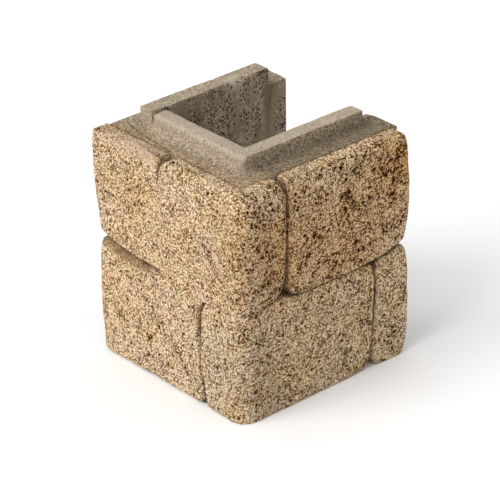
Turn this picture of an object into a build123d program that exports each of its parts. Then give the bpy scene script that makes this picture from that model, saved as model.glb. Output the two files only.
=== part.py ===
from build123d import *

import os

# A concrete corner block for a stone-faced wall: a grey shell, U-shaped in plan and hollow for
# filling with concrete, with a facing of stone-like blocks cast on its two outer sides.
# Sizes are in millimetres. X runs along the front leaf, towards the open ends of the U,
# Y runs from the front leaf to the plain back leaf, and Z is up.

# Grey shell
shell_height = 200.0        # underside to the bearing ledge
shell_length = 164.0        # web's outer face to the open ends of the leaves
shell_width = 158.0         # front leaf's outer face to the back leaf's outer face
wall = 32.0                 # web and both leaves
leaf_edge_radius = 3.0      # upright arrises of the leaves' open ends and of the back corner

# Tongue round the top of the hollow, and the groove under the shell that takes the tongue below
tongue_width = 14.0
tongue_height = 13.5
back_tongue_rise = 2.0      # the back leaf's tongue stands this much higher
tongue_setback = 18.0       # tongue's end to the leaf's open end
tongue_corner_radius = 5.0
tongue_edge_radius = 1.5
groove_clearance = 1.5      # on each side of the tongue and over it

# Stone facing
facing_thickness = 15.0
bed_layer = 5.0             # what is left behind the joints
bed_inset = 4.0             # bed layer's edge, inside the stones' edges
joint_gap = 1.6             # clear width at the bottom of a joint
stone_edge_radius = 6.5     # round a stone's face
stone_corner_extra = 2.5    # a stone's corners are this much rounder than its edges
bend_radius = 60.0          # easing where the bed joint starts to climb

# Joints between the stones, as distances along a face from the shell's corner
bed_joint = 96.25           # height of the bed joint at the corner
left_upper_joint = 82.0
left_lower_joint = 35.0
right_upper_joint = 35.0
right_lower_joint = 128.0
left_rise = 10.0            # the bed joint climbs this much to the left face's far end
right_rise = 5.0            # and this much to the right face's far end
left_upper_overhang = 6.0   # stones stand this far past the shell's ends
left_lower_overhang = 2.5
right_overhang = 3.5

# What follows from those sizes
overall_length = facing_thickness + shell_length + right_overhang
overall_width = facing_thickness + shell_width + max(left_upper_overhang, left_lower_overhang)
web_x = facing_thickness - overall_length / 2
front_y = facing_thickness - overall_width / 2
end_x = web_x + shell_length
back_y = front_y + shell_width
hollow_x = web_x + wall
hollow_front_y = front_y + wall
hollow_back_y = back_y - wall
tongue_x = hollow_x - tongue_width
tongue_end_x = end_x - tongue_setback
tongue_front_y = hollow_front_y - tongue_width
tongue_back_y = hollow_back_y + tongue_width
half_gap = joint_gap / 2
corner_radius = stone_edge_radius + stone_corner_extra

# Sketch planes at the shell's corner: one on the left face, looking along -X, and one on the right face
left_face = Plane(origin=(web_x, front_y, 0), x_dir=(0, -1, 0), z_dir=(-1, 0, 0))
right_face = Plane(origin=(web_x, front_y, 0), x_dir=(1, 0, 0), z_dir=(0, -1, 0))


def bar(x_low, x_high, y_low, y_high, radius=0.0, rounded=()):
    """A rectangle between two corners, with the named corners rounded."""
    with BuildSketch(mode=Mode.PRIVATE) as sketch:
        with Locations(((x_low + x_high) / 2, (y_low + y_high) / 2)):
            Rectangle(x_high - x_low, y_high - y_low)
        if rounded:
            by_x = sketch.vertices().group_by(Axis.X)
            corners = {
                "low_near": by_x[0].sort_by(Axis.Y)[0],
                "low_far": by_x[0].sort_by(Axis.Y)[-1],
                "high_near": by_x[-1].sort_by(Axis.Y)[0],
                "high_far": by_x[-1].sort_by(Axis.Y)[-1],
            }
            fillet([corners[name] for name in rounded], radius)
    return sketch.sketch


def tongue_run(height, *bars):
    """A length of tongue on the bearing ledge, with its top edge rounded."""
    with BuildPart(mode=Mode.PRIVATE) as run:
        with BuildSketch(Plane.XY.offset(shell_height)):
            for plan in bars:
                add(plan)
        extrude(amount=height)
        fillet(run.faces().sort_by(Axis.Z)[-1].edges(), tongue_edge_radius)
    return run.part


def flat_stone(plane, side, outline, bend=None):
    """A stone that lies on one face. Outline points are (distance from the corner, height)."""
    with BuildPart() as stone:
        with BuildSketch(plane) as sketch:
            with BuildLine():
                Polyline(*[(side * along, up) for along, up in outline], close=True)
            make_face()
            if bend:
                fillet(sketch.vertices().sort_by_distance((side * bend[0], bend[1]))[0], bend_radius)
            by_x = sketch.vertices().group_by(Axis.X)
            fillet(by_x[0] + by_x[-1], corner_radius)
        extrude(amount=facing_thickness)
        face = stone.faces().sort_by(Axis(plane.origin, plane.z_dir))[-1]
        fillet(face.edges(), stone_edge_radius)
    return stone.part


def nearness(shape):
    """Sorts a quoin's edges or faces from its outer corner inwards."""
    return shape.center().X + shape.center().Y


def quoin_stone(low, high, left_reach, right_reach):
    """A stone that turns the corner, from one reach on the left face to another on the right face."""
    with BuildPart() as stone:
        with BuildSketch(Plane.XY.offset(low)):
            with BuildLine():
                Polyline(
                    (web_x - facing_thickness, front_y - facing_thickness),
                    (web_x + right_reach, front_y - facing_thickness),
                    (web_x + right_reach, front_y),
                    (web_x, front_y),
                    (web_x, front_y + left_reach),
                    (web_x - facing_thickness, front_y + left_reach),
                    close=True,
                )
            make_face()
        extrude(amount=high - low)
        fillet(stone.edges().filter_by(Axis.Z).sort_by(nearness)[0], facing_thickness)
        left_end = stone.faces().sort_by(Axis.Y)[-1]
        right_end = stone.faces().sort_by(Axis.X)[-1]
        fillet(left_end.edges().filter_by(Axis.X) + right_end.edges().filter_by(Axis.Y), corner_radius)
        left_skin = stone.faces().sort_by(Axis.X)[0]
        right_skin = stone.faces().sort_by(Axis.Y)[0]
        round_skin = stone.faces().filter_by(GeomType.CYLINDER).sort_by(nearness)[0]
        skin = left_skin.edges() + right_skin.edges() + round_skin.edges()
        rim = skin.filter_by(lambda edge: sum(edge.is_same(other) for other in skin) == 1)
        fillet(rim, stone_edge_radius)
    return stone.part


# Grey shell: a U of one wall thickness, with the tongue on top and the groove below
all_corners = ["low_near", "low_far", "high_near", "high_far"]
web_tongue = bar(tongue_x, hollow_x, tongue_front_y, tongue_back_y, tongue_corner_radius, ["low_near", "low_far"])
front_tongue = bar(
    tongue_x,
    tongue_end_x,
    tongue_front_y,
    hollow_front_y,
    tongue_corner_radius,
    ["low_near", "high_near", "high_far"],
)
back_tongue = bar(
    tongue_x,
    tongue_end_x,
    hollow_back_y,
    tongue_back_y,
    tongue_corner_radius,
    ["low_far", "high_near", "high_far"],
)
groove = bar(
    tongue_x - groove_clearance,
    tongue_end_x + groove_clearance,
    tongue_front_y - groove_clearance,
    tongue_back_y + groove_clearance,
    tongue_corner_radius,
    all_corners,
)
with BuildPart() as shell:
    with BuildSketch():
        add(bar(web_x, end_x, front_y, back_y, leaf_edge_radius, ["low_far", "high_near", "high_far"]))
        add(bar(hollow_x, end_x, hollow_front_y, hollow_back_y), mode=Mode.SUBTRACT)
    extrude(amount=shell_height)
    add(tongue_run(tongue_height, web_tongue, front_tongue))
    add(tongue_run(tongue_height + back_tongue_rise, back_tongue))
    with BuildSketch():
        add(groove)
    extrude(amount=tongue_height + back_tongue_rise + groove_clearance, mode=Mode.SUBTRACT)
shell.part.label = "concrete_shell"

# Stones of the upper and lower course, from the left face's far end to the right face's far end
upper_low = bed_joint + half_gap
lower_high = bed_joint - half_gap
left_upper_end = shell_width + left_upper_overhang
left_lower_end = shell_width + left_lower_overhang
right_end = shell_length + right_overhang

left_upper_stone = flat_stone(
    left_face,
    -1,
    [
        (left_upper_joint + half_gap, upper_low),
        (left_upper_end, upper_low + left_rise),
        (left_upper_end, shell_height),
        (left_upper_joint + half_gap, shell_height),
    ],
)
left_lower_stone = flat_stone(
    left_face,
    -1,
    [
        (left_lower_joint + half_gap, 0),
        (left_lower_end, 0),
        (left_lower_end, lower_high + left_rise),
        (left_upper_joint, lower_high),
        (left_lower_joint + half_gap, lower_high),
    ],
    bend=(left_upper_joint, lower_high),
)
right_upper_stone = flat_stone(
    right_face,
    1,
    [
        (right_upper_joint + half_gap, upper_low),
        (right_lower_joint, upper_low),
        (right_end, upper_low + right_rise),
        (right_end, shell_height),
        (right_upper_joint + half_gap, shell_height),
    ],
    bend=(right_lower_joint, upper_low),
)
right_lower_stone = flat_stone(
    right_face,
    1,
    [
        (right_lower_joint + half_gap, 0),
        (right_end, 0),
        (right_end, lower_high + right_rise),
        (right_lower_joint + half_gap, lower_high),
    ],
)
upper_quoin = quoin_stone(upper_low, shell_height, left_upper_joint - half_gap, right_upper_joint - half_gap)
lower_quoin = quoin_stone(0, lower_high, left_lower_joint - half_gap, right_lower_joint - half_gap)

# Stone facing: the six stones are one casting, joined by the bed layer behind their joints
with BuildPart() as facing:
    with BuildSketch(Plane.XY.offset(bed_inset)):
        add(bar(web_x - bed_layer, end_x - bed_inset, front_y - bed_layer, back_y - bed_inset))
        add(bar(web_x, end_x, front_y, back_y), mode=Mode.SUBTRACT)
    extrude(amount=shell_height - 2 * bed_inset)
    add(left_upper_stone)
    add(left_lower_stone)
    add(right_upper_stone)
    add(right_lower_stone)
    add(upper_quoin)
    add(lower_quoin)
facing.part.label = "stone_facing"

os.makedirs("parts", exist_ok=True)
export_step(shell.part, "parts/concrete_shell.step")
export_step(facing.part, "parts/stone_facing.step")
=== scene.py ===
import itertools
import math
import bmesh
import bpy
import numpy as np
from mathutils import Matrix, Vector


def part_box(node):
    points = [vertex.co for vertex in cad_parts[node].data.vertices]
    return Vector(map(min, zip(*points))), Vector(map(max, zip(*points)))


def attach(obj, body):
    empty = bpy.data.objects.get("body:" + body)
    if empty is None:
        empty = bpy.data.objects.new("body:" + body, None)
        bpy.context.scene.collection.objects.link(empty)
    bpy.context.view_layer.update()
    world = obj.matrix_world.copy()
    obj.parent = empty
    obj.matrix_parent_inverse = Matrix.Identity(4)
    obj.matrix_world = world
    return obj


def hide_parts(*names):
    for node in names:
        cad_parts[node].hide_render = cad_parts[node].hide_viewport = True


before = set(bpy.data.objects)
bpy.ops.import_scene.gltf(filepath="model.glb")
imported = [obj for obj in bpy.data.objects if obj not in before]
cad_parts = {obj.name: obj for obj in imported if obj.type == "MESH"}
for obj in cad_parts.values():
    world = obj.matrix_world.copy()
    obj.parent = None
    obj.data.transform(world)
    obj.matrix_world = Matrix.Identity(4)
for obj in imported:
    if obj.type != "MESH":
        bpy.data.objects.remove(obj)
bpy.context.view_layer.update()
mm = 0.001

# Sizes read from the frame, in millimetres. Places on the block are measured from the shell's outer corner.
shellLow, shellHigh = [np.array(corner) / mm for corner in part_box("concrete_shell")]
facingLow, facingHigh = [np.array(corner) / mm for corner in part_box("stone_facing")]
cornerX, cornerY = shellLow[0], shellLow[1]
shellLength = shellHigh[0] - shellLow[0]
shellWidth = shellHigh[1] - shellLow[1]
ledgeHeight = facingHigh[2]
facingThickness = cornerX - facingLow[0]
halfArc = facingThickness * math.pi / 4      # half of the skin's length round the block's corner


# Helpers: noise

def cellRandom(cells, seed):
    # one even random number in 0..1 for each whole-numbered cell, by mixing the bits of its place
    c = cells.astype(np.int64).astype(np.uint32)
    h = c[..., 0] * np.uint32(0x8DA6B343) ^ c[..., 1] * np.uint32(0xD8163841) ^ c[..., 2] * np.uint32(0xCB1AB31F)
    h = h + np.uint32(seed * 0x9E3779B1 % 2**32)
    for shift, factor in ((15, 0x2C1B3C6D), (12, 0x297A2D39)):
        h = (h ^ (h >> np.uint32(shift))) * np.uint32(factor)
    return (h ^ (h >> np.uint32(15))) / 2**32


def smoothNoise(points, size, seed):
    # random slopes at the corners of cells, blended across each cell by a quintic; about -1..1
    q = points / size
    cell = np.floor(q)
    part = q - cell
    blend = part**3 * (part * (part * 6 - 15) + 10)
    total = np.zeros(points.shape[:-1])
    for corner in itertools.product((0, 1), repeat=3):
        at = np.array(corner)
        slope = np.stack([cellRandom(cell + at, seed + k) for k in range(3)], -1) * 2 - 1
        weight = np.prod(np.where(at, blend, 1 - blend), -1)
        total += weight * np.sum(slope * (part - at), -1)
    return total * 1.6


def grainField(points, size, seed):
    # space cracked into cells round random points: the distance to the nearest one, and its own random number
    q = points / size
    cell = np.floor(q)
    nearest = np.full(points.shape[:-1], 9.0)
    pick = np.zeros(points.shape[:-1])
    for step in itertools.product((-1, 0, 1), repeat=3):
        here = cell + np.array(step)
        centre = here + np.stack([cellRandom(here, seed + k) for k in range(3)], -1)
        away = ((q - centre) ** 2).sum(-1)
        closer = away < nearest
        nearest = np.where(closer, away, nearest)
        pick = np.where(closer, cellRandom(here, seed + 3), pick)
    return np.sqrt(nearest), pick


def lineDistance(points, line):
    # distance from each point to the nearest of the line's straight runs
    best = np.full(points.shape[:-1], 1e9)
    for start, end in zip(np.array(line[:-1], float), np.array(line[1:], float)):
        run = end - start
        share = np.clip(((points - start) @ run) / (run @ run), 0, 1)
        best = np.minimum(best, np.linalg.norm(points - start - share[..., None] * run, axis=-1))
    return best


def blotField(first, second, blots):
    # soft round blots, each as (first, second, reach, strength), added up and kept within 0..1
    total = [much * np.exp(-((first - a) ** 2 + (second - b) ** 2) / reach**2) for a, b, reach, much in blots]
    return np.clip(np.sum(total, 0), 0, 1)


def easeStep(value, low, high):
    # 0 below low, 1 above high, and a smooth cubic rise between them
    part = np.clip((value - low) / (high - low), 0, 1)
    return part * part * (3 - 2 * part)


# Helpers: meshes

def makePiece(name, points, faces, nodeName, material, attributes=None):
    # points in millimetres; doubles are merged, so collapsed rows and closed seams become one
    mesh = bpy.data.meshes.new(name)
    mesh.from_pydata((points * mm).tolist(), [], faces)
    for key, values in (attributes or {}).items():
        layer = mesh.attributes.new(key, "FLOAT", "POINT")
        layer.data.foreach_set("value", values.astype(np.float32))
    work = bmesh.new()
    work.from_mesh(mesh)
    bmesh.ops.remove_doubles(work, verts=work.verts, dist=1e-6)
    bmesh.ops.dissolve_degenerate(work, edges=work.edges, dist=1e-7)
    bmesh.ops.recalc_face_normals(work, faces=work.faces)
    work.to_mesh(mesh)
    work.free()
    mesh.polygons.foreach_set("use_smooth", np.ones(len(mesh.polygons), bool))
    piece = bpy.data.objects.new(name, mesh)
    bpy.context.scene.collection.objects.link(piece)
    mesh.materials.append(material)
    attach(piece, "root")
    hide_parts(nodeName)
    print("piece", name, len(mesh.vertices), "points", len(mesh.polygons), "faces")
    return piece


def gridFaces(columns, rows, closed=False):
    # quads of a grid whose points are stored column by column; closed joins the last row to the first
    index = np.arange(columns * rows).reshape(columns, rows)
    up = np.roll(index, -1, axis=1)
    if not closed:
        index, up = index[:, :-1], up[:, :-1]
    quads = np.stack([index[:-1], index[1:], up[1:], up[:-1]], -1)
    return quads.reshape(-1, 4)


# Helpers: shader nodes

def addNode(tree, kind, x, y, inputs=None, **settings):
    # one shader node at a place on the sheet, with its settings and plain inputs
    node = tree.nodes.new(kind)
    node.location = (x, y)
    for key, value in settings.items():
        setattr(node, key, value)
    for key, value in (inputs or {}).items():
        node.inputs[key].default_value = value
    return node


def plug(tree, node, values):
    # each value is a socket to link or a plain number or colour
    for key, value in values.items():
        if hasattr(value, "is_linked"):
            tree.links.new(value, node.inputs[key])
        else:
            node.inputs[key].default_value = value


def rampNode(tree, x, y, stops, source):
    # a colour ramp through the stops, read at the source's value
    node = addNode(tree, "ShaderNodeValToRGB", x, y)
    while len(node.color_ramp.elements) < len(stops):
        node.color_ramp.elements.new(0.5)
    for element, (place, colour) in zip(node.color_ramp.elements, stops):
        element.position = place
        element.color = (*colour, 1)
    tree.links.new(source, node.inputs["Fac"])
    return node.outputs["Color"]


def mixColour(tree, x, y, mode, factor, first, second):
    # two colours blended by a factor, each a socket or a plain value
    node = addNode(tree, "ShaderNodeMix", x, y, data_type="RGBA", blend_type=mode)
    plug(tree, node, {0: factor, 6: first, 7: second if hasattr(second, "is_linked") else (*second, 1)})
    return node.outputs[2]


def mathNode(tree, x, y, operation, first, second=0.0, third=0.0, clamp=False):
    # one sum on up to three values, each a socket or a number
    node = addNode(tree, "ShaderNodeMath", x, y, operation=operation, use_clamp=clamp)
    plug(tree, node, {0: first, 1: second, 2: third})
    return node.outputs[0]


def noiseNode(tree, x, y, vector, size, detail=2.0, roughness=0.5):
    # size is the width of a feature in millimetres
    node = addNode(tree, "ShaderNodeTexNoise", x, y,
                   {"Scale": 1 / (size * mm), "Detail": detail, "Roughness": roughness})
    tree.links.new(vector, node.inputs["Vector"])
    return node.outputs["Fac"]


def attributeNode(tree, x, y, name):
    # the value that the mesh carries under this name
    return addNode(tree, "ShaderNodeAttribute", x, y, attribute_name=name).outputs["Fac"]


# Shared node group: a mix of grains

def makeGrainGroup():
    # space is cracked into small cells, each a grain with its own shade, and into larger cells, of which a share
    # are dark flecks and a share pale ones
    group = bpy.data.node_groups.new("grainMix", "ShaderNodeTree")
    for name in ("Vector", "Grain Scale", "Fine Scale", "Fleck Scale", "Dark Share", "Pale Share"):
        kind = "NodeSocketVector" if name == "Vector" else "NodeSocketFloat"
        group.interface.new_socket(name, in_out="INPUT", socket_type=kind)
    for name in ("Shade", "Dark", "Pale", "Height"):
        group.interface.new_socket(name, in_out="OUTPUT", socket_type="NodeSocketFloat")
    start = addNode(group, "NodeGroupInput", -1400, 0)
    end = addNode(group, "NodeGroupOutput", 900, 0)
    warp = addNode(group, "ShaderNodeTexNoise", -1200, 300, {"Scale": 700.0, "Detail": 1.0})
    centred = addNode(group, "ShaderNodeVectorMath", -1000, 300, {1: (0.5, 0.5, 0.5)}, operation="SUBTRACT")
    warpReach = (0.0012, 0.0012, 0.0012)         # cells are pushed about by up to half of this, so none is round
    shifted = addNode(group, "ShaderNodeVectorMath", -850, 200, {1: warpReach}, operation="MULTIPLY_ADD")
    group.links.new(start.outputs["Vector"], warp.inputs["Vector"])
    group.links.new(warp.outputs["Color"], centred.inputs[0])
    group.links.new(centred.outputs[0], shifted.inputs[0])
    group.links.new(start.outputs["Vector"], shifted.inputs[2])
    cells = addNode(group, "ShaderNodeTexVoronoi", -650, 300, feature="F1")
    fine = addNode(group, "ShaderNodeTexNoise", -650, -50, {"Detail": 2.0, "Roughness": 0.7})
    flecks = addNode(group, "ShaderNodeTexVoronoi", -650, -350, feature="F1")
    for node, scale in ((cells, "Grain Scale"), (fine, "Fine Scale"), (flecks, "Fleck Scale")):
        group.links.new(shifted.outputs[0], node.inputs["Vector"])
        group.links.new(start.outputs[scale], node.inputs["Scale"])
    grainParts = addNode(group, "ShaderNodeSeparateColor", -450, 350)
    fleckParts = addNode(group, "ShaderNodeSeparateColor", -450, -300)
    group.links.new(cells.outputs["Color"], grainParts.inputs[0])
    group.links.new(flecks.outputs["Color"], fleckParts.inputs[0])
    fineShade = mathNode(group, -250, 50, "MULTIPLY_ADD", fine.outputs["Fac"], 1.4, -0.55)
    shade = mathNode(group, -50, 200, "MULTIPLY_ADD", grainParts.outputs[0], 0.75, fineShade, clamp=True)
    # a fleck is full in its cell's core and gone at the rim; a cell is one if its random number is in the share
    core = mathNode(group, -250, -500, "MULTIPLY_ADD", flecks.outputs["Distance"], -7.0, 3.2, clamp=True)
    darker = mathNode(group, -250, -250, "SUBTRACT", start.outputs["Dark Share"], fleckParts.outputs[0])
    darker = mathNode(group, -80, -250, "MULTIPLY", darker, 25.0, clamp=True)
    dark = mathNode(group, 120, -250, "MULTIPLY", darker, core)
    paler = mathNode(group, -250, -700, "ADD", start.outputs["Pale Share"], fleckParts.outputs[0])
    paler = mathNode(group, -80, -700, "MULTIPLY_ADD", paler, 25.0, -25.0, clamp=True)
    pale = mathNode(group, 120, -600, "MULTIPLY", paler, core)
    dome = mathNode(group, 120, 50, "SUBTRACT", shade, cells.outputs["Distance"])
    height = mathNode(group, 400, 0, "SUBTRACT", dome, dark)
    for socket, name in ((shade, "Shade"), (dark, "Dark"), (pale, "Pale"), (height, "Height")):
        group.links.new(socket, end.inputs[name])
    return group


grainGroup = makeGrainGroup()


def placeGrain(tree, x, y, vector, look, darkShare):
    # the shared grain mix, with one material's own values
    node = addNode(tree, "ShaderNodeGroup", x, y, node_tree=grainGroup)
    plug(tree, node, {
        "Vector": vector, "Grain Scale": look["grainScale"], "Fine Scale": look["fineScale"],
        "Fleck Scale": look["fleckScale"], "Dark Share": darkShare, "Pale Share": look["paleShare"]})
    return node.outputs


def plainMaterial(name, roughness):
    # a matt material with hardly any gloss
    material = bpy.data.materials.new(name)
    material.use_nodes = True
    shader = material.node_tree.nodes["Principled BSDF"]
    shader.inputs["Roughness"].default_value = roughness
    shader.inputs["Specular IOR Level"].default_value = 0.05
    return material, material.node_tree, shader


def addBump(tree, shader, height, look):
    # the grain's height, pressed into the shading
    bump = addNode(tree, "ShaderNodeBump", -200, -400,
                   {"Strength": look["bumpStrength"], "Distance": look["bumpDepth"]})
    tree.links.new(height, bump.inputs["Height"])
    tree.links.new(bump.outputs["Normal"], shader.inputs["Normal"])


# Facing mix: sandstone tan, from brown to cream grains, dark flecks, rusty or greyish stains, painted shade beside
# the corner, and joint dirt with painted shade

facingLook = {
    "grains": [(0.0, (0.115, 0.036, 0.008)), (0.22, (0.295, 0.14, 0.046)), (0.45, (0.56, 0.356, 0.174)),
               (0.7, (0.78, 0.56, 0.33)), (1.0, (0.97, 0.86, 0.64))],
    "patches": [(0.36, (1.02, 0.93, 0.80)), (0.5, (1.02, 0.965, 0.90)), (0.64, (1.01, 0.94, 0.92))],
    "dark": (0.056, 0.017, 0.0025), "pale": (0.88, 0.74, 0.56),
    # shade is painted shade on the right side of the corner, and darker patches elsewhere
    "rust": (1.0, 0.78, 0.50), "grey": (0.86, 0.95, 1.1), "shade": (0.72, 0.68, 0.62),
    # the joint brown: dirt in the joints, and painted shade on the sunken shoulders beside them
    "jointDirtAndShade": (0.31, 0.19, 0.095), "bevel": (0.66, 0.475, 0.34),
    "grainScale": 1050.0, "fineScale": 1500.0, "fleckScale": 620.0, "darkShare": 0.15, "paleShare": 0.08,
    "grainWeight": 0.72, "fineWeight": 2.30, "shadeShift": -0.885,
    "patchSize": 26.0, "bumpDepth": 0.0009, "bumpStrength": 0.9,
}


def makeFacingMaterial():
    # grain shades read off the ramp, then patches, pale grains, stains and painted shade, smooth finishes (joint dirt
    # with painted shade, pale bevels) and flecks laid over them
    look = facingLook
    material, tree, shader = plainMaterial("facingConcrete", 0.92)
    place = addNode(tree, "ShaderNodeTexCoord", -2000, 0).outputs["Object"]
    fine = placeGrain(tree, -1700, 0, place, look, look["darkShare"])
    shade = mathNode(tree, -1400, 200, "MULTIPLY_ADD", fine["Shade"], look["fineWeight"], look["shadeShift"])
    shade = mathNode(tree, -1200, 200, "MULTIPLY_ADD", attributeNode(tree, -1400, 400, "grain"), look["grainWeight"],
                     shade, clamp=True)
    colour = rampNode(tree, -1000, 200, look["grains"], shade)
    cloud = noiseNode(tree, -1300, 600, place, look["patchSize"], 2.0)
    patch = rampNode(tree, -1000, 600, look["patches"], cloud)
    colour = mixColour(tree, -700, 300, "MULTIPLY", 1.0, colour, patch)
    colour = mixColour(tree, -550, 300, "MIX", fine["Pale"], colour, look["pale"])
    # rust and grey are stains; shade is painted shade beside the corner and darker patches elsewhere
    for k, stain in enumerate(("rust", "grey", "shade")):
        mask = attributeNode(tree, -600, 700 + 200 * k, stain)
        colour = mixColour(tree, -400 + 100 * k, 300, "MULTIPLY", mask, colour, look[stain])
    # the joint's brown is partly dirt and partly painted shade on the shoulders
    for k, finish in enumerate(("bevel", "jointDirtAndShade", "dark")):
        mask = attributeNode(tree, -200, -100 - 200 * k, finish)
        colour = mixColour(tree, -100 + 150 * k, 300, "MIX", mask, colour, look[finish])
    colour = mixColour(tree, 350, 300, "MIX", fine["Dark"], colour, look["dark"])
    tree.links.new(colour, shader.inputs["Base Color"])
    addBump(tree, shader, fine["Height"], look)
    return material


# Grey concrete: fine sand, small dark air holes, a tan tinge beside the facing, painted shade on the front ledge,
# soot in the hollow, dust on top and painted light on the web's riser

greyLook = {
    "grains": [(0.0, (0.095, 0.068, 0.042)), (0.3, (0.26, 0.20, 0.13)), (0.55, (0.415, 0.325, 0.22)),
               (1.0, (0.72, 0.605, 0.455))],
    "patches": [(0.34, (0.86, 0.86, 0.84)), (0.62, (1.08, 1.08, 1.10))],
    "hole": (0.045, 0.03, 0.018), "pale": (0.62, 0.54, 0.42),
    # soot also carries painted shade on the front ledge, and dust painted light on the web's riser
    "tinge": (1.0, 0.86, 0.68), "sootAndShade": (0.50, 0.485, 0.46), "dustAndPaintedLight": (0.60, 0.51, 0.395), "rust": (0.30, 0.17, 0.075),
    "smear": (0.36, 0.29, 0.205),
    "grainScale": 900.0, "fineScale": 1400.0, "fleckScale": 400.0,
    "darkShare": 0.03, "extraDark": 0.5, "paleShare": 0.04,
    "patchSize": 20.0, "bumpDepth": 0.0008, "bumpStrength": 0.8,
}


def makeGreyMaterial():
    # sand shades read off the ramp, then patches, pale grains, stains in turn (soot with painted shade, dust with
    # painted light) and air holes laid over them
    look = greyLook
    material, tree, shader = plainMaterial("greyConcrete", 0.94)
    place = addNode(tree, "ShaderNodeTexCoord", -2000, 0).outputs["Object"]
    share = mathNode(tree, -1900, -300, "MULTIPLY_ADD", attributeNode(tree, -2000, -300, "porous"),
                     look["extraDark"], look["darkShare"])
    fine = placeGrain(tree, -1700, 0, place, look, share)
    colour = rampNode(tree, -1000, 200, look["grains"], fine["Shade"])
    cloud = noiseNode(tree, -1300, 600, place, look["patchSize"], 4.0, 0.6)
    patch = rampNode(tree, -1000, 600, look["patches"], cloud)
    colour = mixColour(tree, -700, 300, "MULTIPLY", 1.0, colour, patch)
    colour = mixColour(tree, -550, 300, "MIX", fine["Pale"], colour, look["pale"])
    for k, (stain, mode) in enumerate((("smear", "MIX"), ("tinge", "MULTIPLY"), ("dustAndPaintedLight", "MIX"), ("sootAndShade", "MULTIPLY"),
                                     ("rust", "MIX"), ("hole", "MIX"))):
        mask = attributeNode(tree, -600, 700 + 200 * k, stain)
        colour = mixColour(tree, -400 + 150 * k, 300, mode, mask, colour, look[stain])
    colour = mixColour(tree, 500, 300, "MIX", fine["Dark"], colour, look["hole"])
    tree.links.new(colour, shader.inputs["Base Color"])
    addBump(tree, shader, fine["Height"], look)
    return material


facingMaterial = makeFacingMaterial()
greyMaterial = makeGreyMaterial()
print("materials made")


# Stone facing. Each stone's outline is four edges of (distance, height) points in millimetres, seen from
# outside: distance is from the shell's corner, negative on the left face and positive on the right face.
# "round" is how far each corner is worn, from the bottom left anticlockwise. "soft" is the worn shoulder
# along each edge, in the edge's own direction, as (width, drop, finish): a finish above 0 is smooth and
# brown, as joint dirt with painted shade where the shoulder sits below its neighbour, and below 0 smooth and pale.

near = 0.01                                   # either side of the corner itself
closed = (1.0, 0.4, 0)                        # shoulder of a joint that has closed up

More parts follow.
